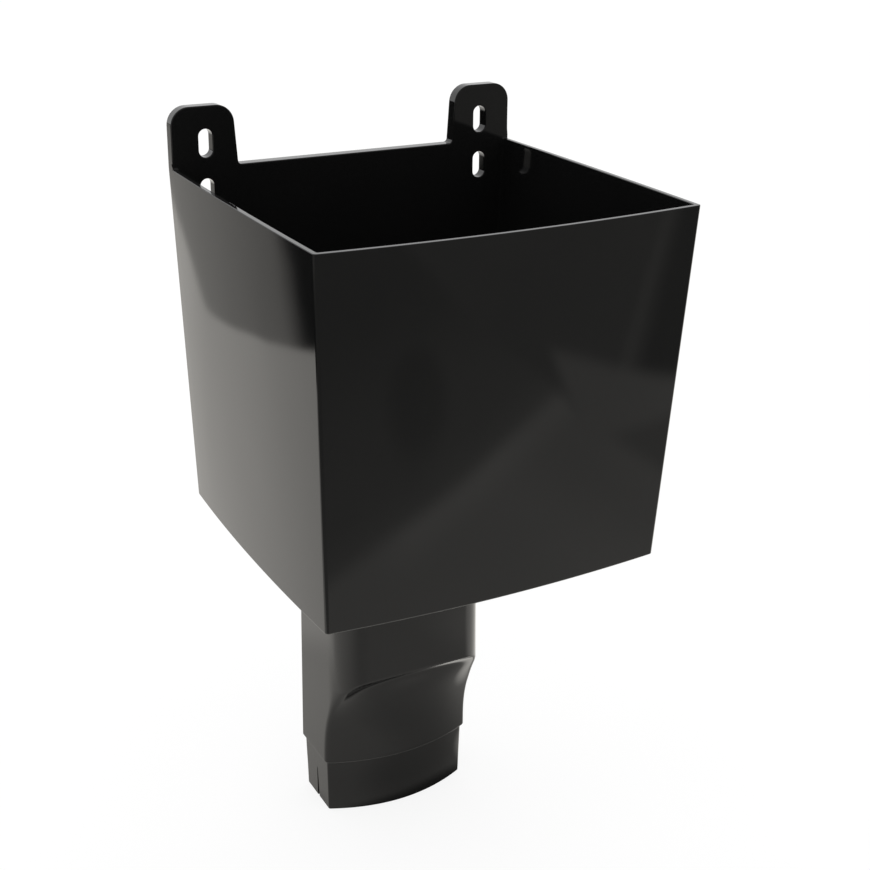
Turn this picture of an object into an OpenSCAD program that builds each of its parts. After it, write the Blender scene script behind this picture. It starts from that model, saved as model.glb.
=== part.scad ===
// Downpipe hopper head: an open-topped box on a wall plate with two slotted ears and a deep outlet below.
// One moulding. X runs along the wall, +Y points into it and +Z up.
// The origin is the middle of the box's wall face.
// The modules draw the part from its rim, z = 0 there, and it is then raised by half the box's height.

/* [Box] */
// width over the rim, at the corners
rim_width = 200.5; // [190:0.5:215]
// depth from the wall to the front corners at the rim
rim_depth = 190; // [180:1:205]
// width over the base, at the corners
base_width = 185.5; // [175:0.5:190]
// depth from the wall to the front corners at the base
base_depth = 178; // [168:1:180]
// height of the box, rim to base
box_height = 188; // [170:1:205]
// how far the front wall swells at the rim
front_bow_rim = 5; // [1:0.5:8]
// how far the front wall swells at the base
front_bow_base = 5; // [1:0.5:8]
// how far the side walls swell at the rim
side_bow_rim = 1; // [0.5:0.1:2]
// how far the side walls swell at the base
side_bow_base = 2.6; // [0.5:0.1:4]
// thickness of the front, the sides and the floor
wall = 2.6; // [2:0.1:3.4]
// radius of the two upright front edges
edge_radius = 1.7; // [0.6:0.1:3]
// radius of the edge round the base
base_radius = 0.6; // [0.4:0.1:1.6]

/* [Wall plate and ears] */
// thickness of the back wall and the ears
back_thickness = 7; // [5:0.5:9]
// height of the ears above the rim
ear_height = 32.1; // [28:0.2:36]
// distance of an ear's inner edge from the middle, at the rim
ear_inner = 64; // [60:0.5:67]
// lean of the inner edge, over the ear's height
ear_lean = 2.2; // [1:0.1:4]
// radius of the ears' upper corners
ear_radius = 10; // [7:0.5:11]

/* [Screw slots] */
// distance of the slots from the middle
slot_x = 81.7; // [80:0.1:84]
// width of a slot
slot_width = 7.6; // [6:0.1:9]
// full length of a slot
slot_length = 15; // [12:0.5:17]
// height of the upper slot's middle above the rim
slot_rise = 12.5; // [11:0.5:15]
// distance from an upper slot to the lower one
slot_spacing = 26.2; // [24:0.2:30]

/* [Outlet] */
// width over the outlet's flat ends, at the base
outlet_top_width = 88.8; // [84:0.2:92]
// width over the outlet's flat ends, at the shoulder
outlet_width = 91.8; // [86:0.2:96]
// length of the oval's flat ends
outlet_flat = 35; // [32:0.5:38]
// swell of the oval's long sides
outlet_bow = 10.5; // [8:0.5:12]
// distance from the wall to the middle of the oval
outlet_setback = 46.5; // [44:0.5:49]
// distance from the wall to the front of the deeper throat
throat_front = 91.5; // [88:0.5:94]
// how far the throat's round front corners run across
throat_radius = 15; // [11:0.5:17]
// how far the throat's round front corners run towards the wall
throat_depth = 23; // [18:0.5:25]
// radius of the oval's corners
oval_radius = 2.5; // [1:0.1:3]
// drop from the base to the crease under the throat
crease_drop = 91; // [80:0.5:96]
// drop from the base to the shoulder above the spigot
shoulder_drop = 155; // [150:1:170]
// thickness of the outlet's wall
outlet_wall = 2.4; // [2:0.1:2.6]
// edge radius of the shoulder
shoulder_radius = 0.8; // [0.4:0.1:1]

/* [Spigot] */
// length of the spigot below the shoulder
spigot_length = 33.5; // [28:0.5:40]
// step from the outlet in to the spigot
spigot_step = 1.7; // [1.2:0.1:2]
// taper of the spigot over its length, each side
spigot_taper = 0.8; // [0.2:0.1:1.2]
// thickness of the spigot's wall
spigot_wall = 2; // [1.6:0.1:2.4]
// height of the slit in each end
slit_height = 20; // [14:0.5:24]
// width of the slit at the open end
slit_mouth = 2.5; // [1.8:0.1:3]
// width of the slit at its closed end
slit_tip = 0.8; // [0.6:0.1:1.2]

/* [Hidden] */
$fn = 64;
shell_black = [0.07, 0.07, 0.07];
over = 1;
side_steps = 6;
corner_steps = 5;
front_steps = 10;
oval_steps = 9;
round_steps = 7;
ear_steps = 16;
// radius of the round between the walls and the floor inside, and the least radius of an inner corner
floor_radius = 2;
least_radius = 0.6;
// bevel at the spigot's mouth: its height and how far it draws in
bevel_height = 0.6;
bevel_draw = 0.5;
// height over which the passage narrows from the outlet to the spigot
neck_height = 4;
// heights measured from the rim
base_z = -box_height;
crease_z = base_z - crease_drop;
shoulder_z = base_z - shoulder_drop;
spigot_z = shoulder_z - spigot_length;
// the oval's back and front corners, measured from the wall
back_corner = outlet_setback - outlet_flat / 2;
front_corner = outlet_setback + outlet_flat / 2;
// how far the throat's front stands ahead of the oval's front corners, and the drop over which it sweeps back
throat_reach = throat_front - front_corner;
sweep_full = 60;
sweep_power = 2.35;
sweep_drop = min(sweep_full, shoulder_drop - crease_drop - 3);
flare_drop = crease_drop + sweep_drop;
near_drop = 9;
// the thumb-shaped hollow in the middle of the front, just under the crease
hollow_depth = 2.8;
hollow_drop = 4.5;
slot_r = slot_width / 2;
slot_run = slot_length - slot_width;
lean_slope = ear_lean / ear_height;

function lerp(a, b, t) = a + (b - a) * t;
function bezier(a, c, b, t) =
    let (k = 0.55, p = lerp(a, c, k), q = lerp(b, c, k), s = 1 - t)
    s * s * s * a + 3 * s * s * t * p + 3 * s * t * t * q + t * t * t * b;
// a left half ring, completed by its mirror image; the half runs from the back to the front
function mirrored(half, shared_back) =
    concat(half, [for (i = [len(half) - 2:-1:shared_back ? 1 : 0]) [-half[i][0], half[i][1], half[i][2]]]);

// Box: one level of the tapered box, drawn in by an inset on the front and the sides.
// Its back is at y = -back.
function box_half(z, inset, back) =
    let (q = min(1, max(0, -z / box_height)),
         hw = lerp(rim_width, base_width, q) / 2 - inset,
         dc = lerp(rim_depth, base_depth, q) - inset,
         fb = lerp(front_bow_rim, front_bow_base, q),
         sb = lerp(side_bow_rim, side_bow_base, q),
         r = max(edge_radius - inset, least_radius),
         tr = (dc - r) / dc,
         a = [-hw - sb * 4 * tr * (1 - tr), -(dc - r), z],
         xb = hw - r,
         b = [-xb, -dc - fb * (1 - pow(xb / hw, 2)), z],
         c = [-hw, -dc, z])
    concat(
        [for (i = [0:side_steps - 1])
            let (y = lerp(back, dc - r, i / side_steps), t = y / dc) [-hw - sb * 4 * t * (1 - t), -y, z]],
        [for (i = [0:corner_steps]) bezier(a, c, b, i / corner_steps)],
        [for (i = [1:front_steps])
            let (x = xb * (1 - i / front_steps)) [-x, -dc - fb * (1 - pow(x / hw, 2)), z]]);
function box_ring(z, inset, back) = mirrored(box_half(z, inset, back), false);

// Outlet: how far the front stands ahead of the oval's corner line, at a depth v below the crease.
function sweep(v) =
    v <= 0 ? throat_reach + 1
    : throat_reach * pow(max(0, 1 - v / sweep_drop), sweep_power);
// share of the oval's swell that the front has at that depth
function swell(v) = v <= 0 ? 0 : v >= sweep_drop ? 1 : 1 - pow(1 - v / sweep_drop, 3);
// depth of the hollow in the middle of the front at that depth
function hollow(v) = v <= 0 ? 0 : hollow_depth * v / hollow_drop * exp(1 - v / hollow_drop);
// front of the outlet at x, as a distance from the wall, for an inset half width a
function outlet_front(x, a, inset, v) =
    let (r = max(throat_radius - inset, 2),
         d = max(throat_depth - inset, 2),
         e = max(0, abs(x) - (a - r)) / r,
         rise = max(0, 1 - pow(x / a, 2)),
         prism = throat_front - inset - d + d * sqrt(max(0, 1 - e * e)),
         scoop = front_corner - inset + sweep(v) + outlet_bow * swell(v) * rise - hollow(v) * pow(rise, 1.5))
    min(prism, scoop);
// the flat ends draw apart from the base down to the plain oval
function end_width(z) = lerp(outlet_top_width, outlet_width, min(1, max(0, (base_z - z) / flare_drop)));
function outlet_half(z, inset, v) =
    let (a = end_width(z) / 2 - inset,
         rc = max(oval_radius - inset, 0.8),
         yb = back_corner + inset,
         xb = a - rc,
         front_end = outlet_front(-a, a, inset, v),
         p = [-xb, -yb + outlet_bow * (1 - pow(xb / a, 2)), z],
         q = [-a, -yb - rc, z],
         s = [-a, -front_end + rc, z],
         t = [-xb, -outlet_front(-xb, a, inset, v), z])
    concat(
        [for (i = [0:oval_steps - 1])
            let (x = xb * i / oval_steps) [-x, -yb + outlet_bow * (1 - pow(x / a, 2)), z]],
        [for (i = [0:3]) bezier(p, [-a, -yb, z], q, i / 3)],
        [for (i = [0:3]) bezier(s, [-a, -front_end, z], t, i / 3)],
        [for (i = [1:round_steps])
            let (x = xb - (throat_radius - rc) * (1 - cos(90 * i / round_steps)))
            [-x, -outlet_front(-x, a, inset, v), z]],
        [for (i = [1:oval_steps])
            let (x = (xb - throat_radius + rc) * (1 - i / oval_steps))
            [-x, -outlet_front(-x, a, inset, v), z]]);
function outlet_ring(z, inset, v) = mirrored(outlet_half(z, inset, v), true);

// solid through a stack of rings, listed from the top down
module loft(rings) {
    n = len(rings[0]);
    m = len(rings);
    sides = [for (k = [0:m - 2], i = [0:n - 1])
        let (j = (i + 1) % n, a = k * n + i, b = k * n + j, c = a + n, d = b + n)
        each [[a, b, c], [b, d, c]]];
    caps = [[for (i = [n - 1:-1:0]) i], [for (i = [0:n - 1]) (m - 1) * n + i]];
    polyhedron(points = [for (r = rings) each r], faces = concat(sides, caps), convexity = 8);
}

module box_outer() {
    loft([box_ring(0, 0, 0), for (k = [0:4])
        let (t = 90 * k / 4) box_ring(base_z + base_radius * (1 - sin(t)), base_radius * (1 - cos(t)), 0)]);
}

module box_inner() {
    floor_z = base_z + wall;
    loft([box_ring(over, wall, back_thickness), box_ring(0, wall, back_thickness), for (k = [0:3])
        let (t = 90 * k / 3, rise = floor_radius * (1 - sin(t)), draw = floor_radius * (1 - cos(t)))
        box_ring(floor_z + rise, wall + draw, back_thickness)]);
}

// depths of the levels below the crease
function levels() = concat([0.8, 1.8, 3, 4.5, 6.5, near_drop],
    [for (f = [0.09, 0.2, 0.33, 0.49, 0.66, 0.84, 1]) lerp(near_drop, sweep_drop, f)]);

module outlet_outer() {
    loft(concat(
        [outlet_ring(base_z + wall / 2, 0, 0), outlet_ring(crease_z, 0, 0)],
        [for (v = levels()) outlet_ring(crease_z - v, 0, v)],
        [for (k = [0:3])
            let (t = 90 * k / 3, rise = shoulder_radius * (1 - sin(t)), draw = shoulder_radius * (1 - cos(t)))
            outlet_ring(shoulder_z + rise, draw, sweep_drop)],
        [outlet_ring(shoulder_z, spigot_step, sweep_drop),
         outlet_ring(spigot_z + bevel_height, spigot_step + spigot_taper, sweep_drop),
         outlet_ring(spigot_z, spigot_step + spigot_taper + bevel_draw, sweep_drop)]));
}

module outlet_inner() {
    top = crease_z + outlet_wall;
    neck = spigot_step + spigot_wall;
    loft(concat(
        [outlet_ring(base_z + wall + over, outlet_wall, 0), outlet_ring(top, outlet_wall, 0)],
        [for (v = levels()) outlet_ring(top - v, outlet_wall, v)],
        [outlet_ring(shoulder_z + neck_height, outlet_wall, sweep_drop),
         outlet_ring(shoulder_z, neck, sweep_drop),
         outlet_ring(spigot_z - over, neck + spigot_taper, sweep_drop)]));
}

// a round corner of the ear about a centre, from one angle to another
function ear_corner(x, z, from, to) =
    [for (i = [0:ear_steps]) let (t = lerp(from, to, i / ear_steps)) [x, z] + ear_radius * [cos(t), sin(t)]];

// one ear, the left one: a straight outer edge, a leaning inner edge and two round upper corners
module ear_profile() {
    half = rim_width / 2;
    lean = atan(lean_slope);
    cz = ear_height - ear_radius;
    cx = -ear_inner - lean_slope * cz - ear_radius / cos(lean);
    ox = -half + ear_radius;
    polygon(concat(
        [[-half + wall, -wall], [-half, 0]],
        ear_corner(ox, cz, 180, 90),
        ear_corner(cx, cz, 90, lean),
        [[-ear_inner, 0], [-ear_inner, -wall]]));
}

module ear() {
    rotate([90, 0, 0]) linear_extrude(height = back_thickness) ear_profile();
}

// one upright slot through the back wall or an ear
module slot(x, z) {
    through = back_thickness + 2 * over;
    for (dz = [-slot_run / 2, slot_run / 2])
        translate([x, over, z + dz]) rotate([90, 0, 0]) cylinder(r = slot_r, h = through);
    translate([x - slot_r, over - through, z - slot_run / 2]) cube([slot_width, through, slot_run]);
}

// a wedge that opens downwards, through both flat ends of the spigot
module slits() {
    span = outlet_width + 2 * over;
    translate([-span / 2, -outlet_setback, spigot_z]) rotate([90, 0, 90]) linear_extrude(height = span)
        polygon([[-slit_tip / 2, slit_height], [slit_tip / 2, slit_height],
                 [slit_mouth / 2, -over], [-slit_mouth / 2, -over]]);
}

module hopper_head() {
    color(shell_black) translate([0, 0, box_height / 2]) difference() {
        union() {
            box_outer();
            ear();
            mirror([1, 0, 0]) ear();
            outlet_outer();
        }
        box_inner();
        outlet_inner();
        for (x = [-slot_x, slot_x], z = [slot_rise, slot_rise - slot_spacing]) slot(x, z);
        slits();
    }
}

hopper_head();
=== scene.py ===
"""Looks of the downpipe hopper head: one glossy black moulding, worked out as surfaces.

The shape classes measure in millimetres from the rim, with z = 0 there, x along the wall and y into it.
The mesh, the finish and the studio are in metres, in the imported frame.
"""
import logging
import math
from dataclasses import dataclass, field, replace
from enum import Enum
from typing import Any, Sequence

import bpy
import numpy as np
from mathutils import Matrix
from mathutils.geometry import tessellate_polygon


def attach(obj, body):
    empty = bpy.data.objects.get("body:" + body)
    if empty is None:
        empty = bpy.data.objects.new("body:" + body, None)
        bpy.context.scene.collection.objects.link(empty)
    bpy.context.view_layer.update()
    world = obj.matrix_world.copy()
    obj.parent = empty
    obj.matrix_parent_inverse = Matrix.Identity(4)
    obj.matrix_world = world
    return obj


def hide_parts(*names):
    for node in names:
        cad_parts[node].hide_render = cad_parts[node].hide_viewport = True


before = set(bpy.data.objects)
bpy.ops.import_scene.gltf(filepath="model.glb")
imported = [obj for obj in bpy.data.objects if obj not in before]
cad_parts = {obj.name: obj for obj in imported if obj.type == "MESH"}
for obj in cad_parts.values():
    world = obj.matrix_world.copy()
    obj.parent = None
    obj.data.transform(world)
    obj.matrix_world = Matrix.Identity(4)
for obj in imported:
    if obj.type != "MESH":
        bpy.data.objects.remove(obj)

LOG = logging.getLogger("hopper_head")
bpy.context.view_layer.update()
MM = 0.001
PHOTO_PX = 870.0
TINY = 1e-9
WHITE = (1.0, 1.0, 1.0, 1.0)
Array = np.ndarray
Point = tuple[float, float]
Colour = tuple[float, float, float]
Band = tuple[float, float, float]


def lerp(a: Any, b: Any, t: Any) -> Any:
    """The value a share t of the way from a to b."""
    return a + (b - a) * t


def smooth(t: Any) -> Any:
    """Smooth step: 0 below 0, 1 above 1, and t * t * (3 - 2 t) between."""
    t = np.clip(t, 0.0, 1.0)
    return t * t * (3.0 - 2.0 * t)


def unit(v: Array) -> Array:
    """Vectors of length one, with zero vectors left at zero."""
    size = np.linalg.norm(v, axis=-1, keepdims=True)
    return np.divide(v, size, out=np.zeros_like(v), where=size > TINY)


def rounded_max(a: Array, b: Array, r: Any) -> Array:
    """The larger of two distances, with the edge where they meet rounded to radius r.

    Formula: min(max(a, b), -r) + hypot(max(a + r, 0), max(b + r, 0)).
    """
    bend = np.hypot(np.maximum(a + r, 0.0), np.maximum(b + r, 0.0))
    return np.minimum(np.maximum(a, b), -r) + bend


def spaced(bands: Sequence[Band]) -> Array:
    """Values that run through bands of (start, end, step), each without its end."""
    return np.concatenate([np.arange(*band) for band in bands])


def half_turn(bands: Sequence[Band]) -> Array:
    """Directions through half a turn, in degrees: the bands, the middle and the bands mirrored."""
    quarter = spaced(bands)
    return np.concatenate([quarter, [90.0], 180.0 - quarter[::-1]])


def mirrored(half: Array) -> Array:
    """A left half that ends on the middle plane, followed by its mirror image."""
    return np.concatenate([half, half[-2::-1] * (-1.0, 1.0, 1.0)])


@dataclass
class Skin:
    """Surface patches that are welded into one closed mesh with exact normals."""

    points: list[Array] = field(default_factory=list)
    normals: list[Array] = field(default_factory=list)
    weights: list[Array] = field(default_factory=list)
    triangles: list[Array] = field(default_factory=list)
    count: int = 0
    grid_weight: float = 1.0
    flat_weight: float = 400.0
    smooth_angle: float = 35.0
    weld_decimals: int = 3

    def _keep(self, points: Array, normals: Array, triangles: Array, weight: float) -> None:
        """Stores one patch.

        Args:
            points: Its points.
            normals: Their normals.
            triangles: Its triangles, counted from its own first point.
            weight: How much its normals count where patches meet.
        """
        self.points.append(points)
        self.normals.append(normals)
        self.weights.append(np.full(len(points), weight))
        self.triangles.append(triangles + self.count)
        self.count += len(points)

    def grid(self, p: Array, closed: bool = False, normals: Array | None = None,
             skip: Array | None = None) -> None:
        """Adds a grid surface, whose outward side is that of (step along i) x (step along j).

        Args:
            p: Points p[i, j]. A closed grid repeats its first row at the end.
            closed: Whether i runs round a ring, so that normals are worked out across its seam.
            normals: Exact normals, where the caller has them.
            skip: Cells [i, j] that are left open.
        """
        rows, columns = p.shape[:2]
        if normals is None:
            wide = np.concatenate([p[-2:-1], p, p[1:2]]) if closed else p
            along = np.gradient(wide, axis=0, edge_order=min(2, len(wide) - 1))
            along = along[1:-1] if closed else along
            normals = unit(np.cross(along, np.gradient(p, axis=1, edge_order=2)))
        index = np.arange(rows * columns).reshape(rows, columns)
        a, b, c, d = index[:-1, :-1], index[1:, :-1], index[1:, 1:], index[:-1, 1:]
        cells = np.stack([a, b, c, a, c, d], -1)
        cells = cells if skip is None else cells[~skip]
        self._keep(p.reshape(-1, 3), normals.reshape(-1, 3), cells.reshape(-1, 3), self.grid_weight)

    def fill(self, loops: Sequence[Array], normal: Sequence[float]) -> None:
        """Adds a flat face.

        Args:
            loops: Its outline, and then its holes.
            normal: Its outward direction.
        """
        points = np.concatenate(loops)
        direction = np.asarray(normal, float)
        triangles = np.array(tessellate_polygon([loop.tolist() for loop in loops]))
        corner = points[triangles]
        turn = np.cross(corner[:, 1] - corner[:, 0], corner[:, 2] - corner[:, 0]) @ direction
        triangles[turn < 0] = triangles[turn < 0][:, ::-1]
        self._keep(points, np.tile(direction, (len(points), 1)), triangles, self.flat_weight)

    def _blend(self, normals: Array, weights: Array, group: Array) -> Array:
        """Blends the normals at each welded point, so that round edges are smooth and sharp ones stay sharp.

        A normal becomes the weighted mean of those there that lie within the smooth angle of it.

        Args:
            normals: One normal for each point of the patches.
            weights: Their weights.
            group: The welded point that each point of the patches belongs to.

        Returns:
            The blended normals.
        """
        order = np.argsort(group, kind="stable")
        rank = np.arange(len(order)) - np.searchsorted(group[order], group[order])
        room = np.zeros((int(group.max()) + 1, int(rank.max()) + 1, 3))
        load = np.zeros(room.shape[:2])
        room[group[order], rank] = normals[order]
        load[group[order], rank] = weights[order]
        close = np.einsum("gik,gjk->gij", room, room) > math.cos(math.radians(self.smooth_angle))
        mean = unit(np.einsum("gij,gj,gjk->gik", close.astype(float), load, room))
        blended = np.empty_like(normals)
        blended[order] = mean[group[order], rank]
        return blended

    def mesh(self, name: str, lift: float) -> bpy.types.Mesh:
        """Welds the patches, with points closer than about a micrometre made one.

        Args:
            name: Name of the mesh.
            lift: Millimetres by which it is raised.

        Returns:
            The mesh, in metres.
        """
        parts = (self.points, self.normals, self.weights, self.triangles)
        points, normals, weights, triangles = (np.concatenate(part) for part in parts)
        rounded = np.round(points, self.weld_decimals)
        _, first, group = np.unique(rounded, axis=0, return_index=True, return_inverse=True)
        group = group.reshape(-1)
        normals = self._blend(normals, weights, group)
        welded = group[triangles]
        solid = np.all(welded != np.roll(welded, 1, axis=1), axis=1)
        welded, corners = welded[solid], normals[triangles[solid]].reshape(-1, 3)
        flat = points[first][welded]
        face = unit(np.cross(flat[:, 1] - flat[:, 0], flat[:, 2] - flat[:, 0])).repeat(3, 0)
        empty = ~corners.any(axis=1)
        corners[empty] = face[empty]
        mesh = bpy.data.meshes.new(name)
        placed = (points[first] + (0.0, 0.0, lift)) * MM
        mesh.from_pydata(placed.tolist(), [], welded.tolist())
        mesh.polygons.foreach_set("use_smooth", np.ones(len(welded), bool))
        mesh.normals_split_custom_set(corners.tolist())
        mesh.update()
        return mesh


@dataclass
class Profile:
    """A section line: how far each point is drawn in, its height, and the two parts of its normal."""

    inset: Array
    z: Array
    out: Array
    up: Array

    @classmethod
    def arc(cls, centre: Point, radius: float, start: float, end: float, steps: int) -> "Profile":
        """A round: centre + radius * (cos, sin).

        Args:
            centre: Its middle.
            radius: Its radius, below zero where the normal points towards the middle.
            start: First angle, in degrees.
            end: Last angle.
            steps: Number of steps.

        Returns:
            The round.
        """
        turn = np.radians(np.linspace(start, end, steps + 1))
        cos, sin = np.cos(turn), np.sin(turn)
        size, side = abs(radius), math.copysign(1.0, radius)
        return cls(centre[0] + size * cos, centre[1] + size * sin, side * cos, side * sin)

    @classmethod
    def line(cls, start: Point, end: Point, steps: int) -> "Profile":
        """A straight run, whose normal is its direction turned a quarter to the left.

        Args:
            start: First point.
            end: Last point.
            steps: Number of steps.

        Returns:
            The run.
        """
        t = np.linspace(0.0, 1.0, steps + 1)
        along = np.array(end) - np.array(start)
        along = along / np.hypot(*along)
        ones = np.ones_like(t)
        return cls(lerp(start[0], end[0], t), lerp(start[1], end[1], t), -along[1] * ones, along[0] * ones)

    @classmethod
    def join(cls, *parts: "Profile") -> "Profile":
        """Runs laid end to end, with each shared point kept once.

        Args:
            parts: The runs, in order.

        Returns:
            One line.
        """
        names = ("inset", "z", "out", "up")
        runs = [[getattr(part, name)[min(i, 1):] for i, part in enumerate(parts)] for name in names]
        return cls(*(np.concatenate(run) for run in runs))


@dataclass
class HopperBox:
    """The open-topped box: front, sides, rim and floor."""

    rim_width: float = 200.5
    rim_depth: float = 190.0
    base_width: float = 185.5
    base_depth: float = 178.0
    height: float = 188.0
    front_bow_rim: float = 5.0
    front_bow_base: float = 5.0
    side_bow_rim: float = 1.0
    side_bow_base: float = 2.6
    wall: float = 2.6
    edge_radius: float = 1.7
    least_radius: float = 0.6
    corner_pull: float = 0.55
    base_radius: float = 0.6
    rim_radius: float = 0.4
    floor_radius: float = 2.0
    nook: float = 1.2
    nook_steps: int = 5
    side_steps: int = 26
    corner_steps: int = 12
    front_steps: int = 24
    round_steps: int = 6
    wall_steps: int = 18
    rim_steps: int = 2

    @property
    def base(self) -> float:
        """Height of the underside."""
        return -self.height

    @property
    def floor(self) -> float:
        """Height of the floor inside."""
        return self.wall - self.height

    @property
    def rim_row(self) -> int:
        """Row of the wall grid at which the rim's round starts."""
        return self.round_steps + self.wall_steps

    def level(self, z: Array, inset: Array) -> tuple[Array, Array, Array, Array]:
        """The box's section at a height.

        Args:
            z: Height.
            inset: How far the section is drawn in from the outside.

        Returns:
            Half width, depth, swell of the front and swell of the sides.
        """
        q = np.clip(-z / self.height, 0.0, 1.0)
        half = lerp(self.rim_width, self.base_width, q) / 2 - inset
        depth = lerp(self.rim_depth, self.base_depth, q) - inset
        front = lerp(self.front_bow_rim, self.front_bow_base, q)
        side = lerp(self.side_bow_rim, self.side_bow_base, q)
        return half, depth, front, side

    def swell(self, y: Array, z: Array, inset: Array) -> Array:
        """How far a side stands out: 4 s t (1 - t), with t = y / depth.

        Args:
            y: Distance from the wall.
            z: Height.
            inset: How far the section is drawn in.

        Returns:
            The swell.
        """
        _, depth, _, side = self.level(z, inset)
        t = y / depth
        return 4.0 * side * t * (1.0 - t)

    def base_round(self) -> Profile:
        """The edge round the base, from the underside up to the wall."""
        r = self.base_radius
        return Profile.arc((r, self.base + r), r, 270, 180, self.round_steps)

    def outside(self) -> Profile:
        """The wall's outside, from the base round up to the rim round."""
        return Profile.line((0.0, self.base + self.base_radius), (0.0, -self.rim_radius), self.wall_steps)

    def inside(self) -> Profile:
        """The rim, the wall's inside and the round into the floor.

        Returns:
            The line from the rim's outer edge to the floor.
        """
        r, f, n = self.rim_radius, self.floor_radius, self.round_steps
        return Profile.join(
            Profile.arc((r, -r), r, 180, 90, n),
            Profile.line((r, 0.0), (self.wall - r, 0.0), self.rim_steps),
            Profile.arc((self.wall - r, -r), r, 90, 0, n),
            Profile.line((self.wall, -r), (self.wall, self.floor + f), self.wall_steps),
            Profile.arc((self.wall + f, self.floor + f), -f, 180, 270, n))

    def nook_arc(self) -> tuple[Array, Array]:
        """The round between the wall plate and what meets it: distances from the plate, and rises."""
        turn = np.radians(np.linspace(90.0, 0.0, self.nook_steps + 1))
        return self.nook * (1.0 - np.sin(turn)), self.nook * (1.0 - np.cos(turn))

    def flank(self, line: Profile, plate: float, end: Array) -> Array:
        """The left side: x = -(h + 4 s t (1 - t)), with t = y / depth.

        Near the plate the rim and the inside rise along their own normals, r (1 - cos a) at a distance
        r (1 - sin a) from it.

        Args:
            line: The wall's section.
            plate: Distance from the wall at which the side starts.
            end: Distance from the wall at which it ends, for each point of the section.

        Returns:
            Points [along the side, along the section].
        """
        half, _, _, _ = self.level(line.z, line.inset)
        away, rise = self.nook_arc()
        share = smooth((np.arange(len(line.z)) - self.rim_row) / self.round_steps)
        near = np.repeat((plate + away)[:, None], len(line.z), 1)
        step = np.arange(1, self.side_steps + 1)[:, None] / self.side_steps
        y = np.concatenate([near, lerp(plate + self.nook, end, step)])
        lift = np.zeros_like(y)
        lift[:len(away)] = rise[:, None] * share
        x = -half - self.swell(y, line.z, line.inset) + lift * np.maximum(line.out, 0.0)
        return np.stack([x, -y, line.z + lift * line.up], -1)

    def face(self, line: Profile, x: Array) -> Array:
        """Points of the front at a distance x to the left of the middle: y = -(d + f (1 - (x / h)^2))."""
        half, depth, front, _ = self.level(line.z, line.inset)
        return np.stack([-x, -depth - front * (1.0 - (x / half) ** 2), line.z + 0.0 * x], -1)

    def walls(self, plate: float) -> Array:
        """The wall grid: the section carried from the plate along one side, the front and the other side.

        A corner is a cubic between side and front, whose handles reach part of the way to the sharp corner.

        Args:
            plate: Thickness of the wall plate.

        Returns:
            Points [around, along the section].
        """
        line = Profile.join(self.base_round(), self.outside(), self.inside())
        half, depth, _, _ = self.level(line.z, line.inset)
        radius = np.maximum(self.edge_radius - line.inset, self.least_radius)
        flank = self.flank(line, plate, depth - radius)
        a, b = flank[-1], self.face(line, half - radius)
        sharp = np.stack([-half, -depth, line.z], -1)
        leave, arrive = lerp(a, sharp, self.corner_pull), lerp(b, sharp, self.corner_pull)
        t = (np.arange(1, self.corner_steps + 1) / self.corner_steps)[:, None, None]
        s = 1.0 - t
        bend = s ** 3 * a + 3 * s * s * t * leave + 3 * s * t * t * arrive + t ** 3 * b
        share = 1.0 - np.arange(1, self.front_steps + 1)[:, None] / self.front_steps
        return mirrored(np.concatenate([flank, bend, self.face(line, (half - radius) * share)]))


@dataclass(frozen=True)
class Levels:
    """Heights along the outlet: its crease, its shoulder, the slits' closed ends and its open end."""

    crease: float
    shoulder: float
    tip: float
    end: float


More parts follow.
